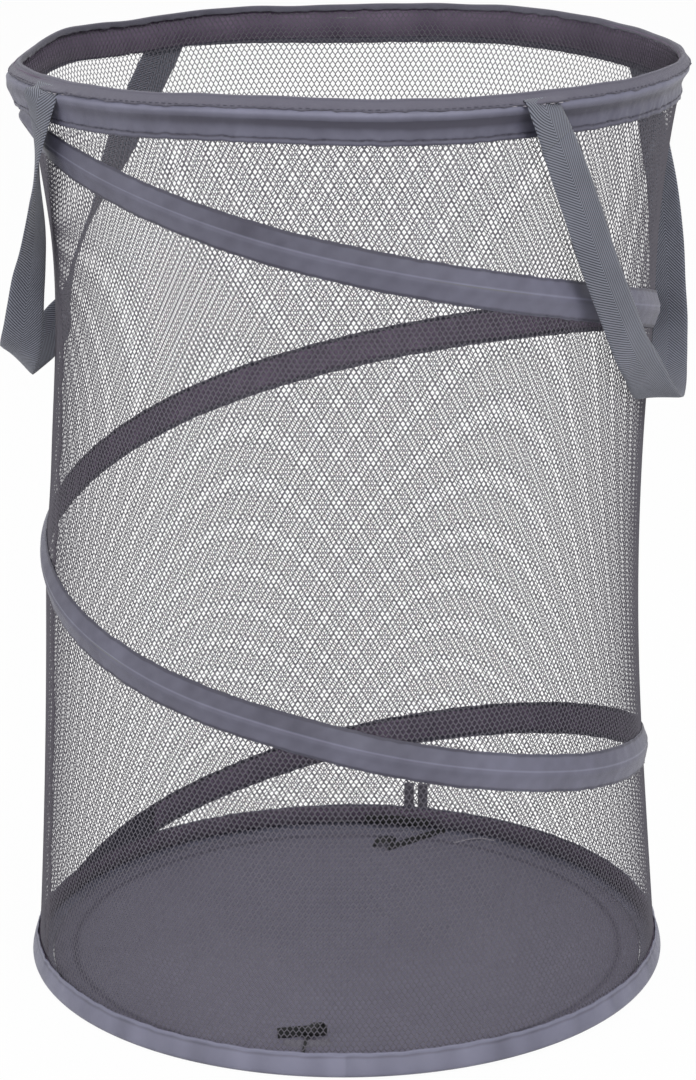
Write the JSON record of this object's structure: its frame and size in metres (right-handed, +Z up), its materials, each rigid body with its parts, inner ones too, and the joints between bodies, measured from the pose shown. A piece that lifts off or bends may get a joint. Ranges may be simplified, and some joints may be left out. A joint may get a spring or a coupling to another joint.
{
  "type": "pop-up laundry hamper",
  "caption": "Round pop-up laundry hamper: net drum stretched over a spiral spring wire between ring wires, with cloth base, webbing carry handles and folding ties.",
  "frame": {"origin": "centre of the base's underside, on the floor", "axes": "+Z up through the mouth, -Y to the front, +X to the right-hand handle"},
  "size_m": [0.4448, 0.4062, 0.578],
  "materials": {
    "nylon": "satin nylon taffeta, creased",
    "binding": "ribbed polyester binding tape",
    "net": "open knitted polyester net",
    "panel": "matte woven cloth",
    "webbing": "herringbone twill webbing",
    "ribbon": "flat woven ribbon",
    "steel": "drawn spring steel",
    "plastic": "moulded, matte"
  },
  "bodies": {
    "base": {"base_panel": "panel", "bottom_ring_wire": "steel", "bottom_ring_ferrule": "steel", "bottom_sleeve": "nylon", "back_tie_loop": "ribbon", "front_tie_knot": "ribbon", "back_tie_knot": "ribbon", "net_wall": "net", "side_seam_tape": "net", "spiral_wire": "steel", "spiral_top_cap": "plastic", "spiral_bottom_cap": "plastic", "spiral_casing": "nylon"},
    "rim": {"rim_wire": "steel", "rim_ferrule": "steel", "rim_sleeve": "nylon", "rim_binding": "binding", "left_handle_tab_a": "webbing", "left_handle_tab_b": "webbing", "right_handle_tab_a": "webbing", "right_handle_tab_b": "webbing"},
    "left_handle": {"left_handle": "webbing"},
    "right_handle": {"right_handle": "webbing"}
  },
  "joints": [
    {"name": "collapse", "type": "slide", "parent": "base", "child": "rim", "axis": [0, 0, 1], "range_m": [-0.52, 0], "stiffness_N_per_m": 20, "springref_m": 0.15, "deforming": ["net_wall", "side_seam_tape", "spiral_wire", "spiral_top_cap", "spiral_bottom_cap", "spiral_casing"]},
    {"name": "left_handle_swing", "type": "hinge", "parent": "rim", "child": "left_handle", "pos_m": [-0.14772, 0.0234, 0.5712], "axis": [0.1564, 0.9877, 0], "range_deg": [0, 150]},
    {"name": "right_handle_swing", "type": "hinge", "parent": "rim", "child": "right_handle", "pos_m": [0.14573, -0.03364, 0.5712], "axis": [-0.225, -0.9744, 0], "range_deg": [0, 150]}
  ]
}
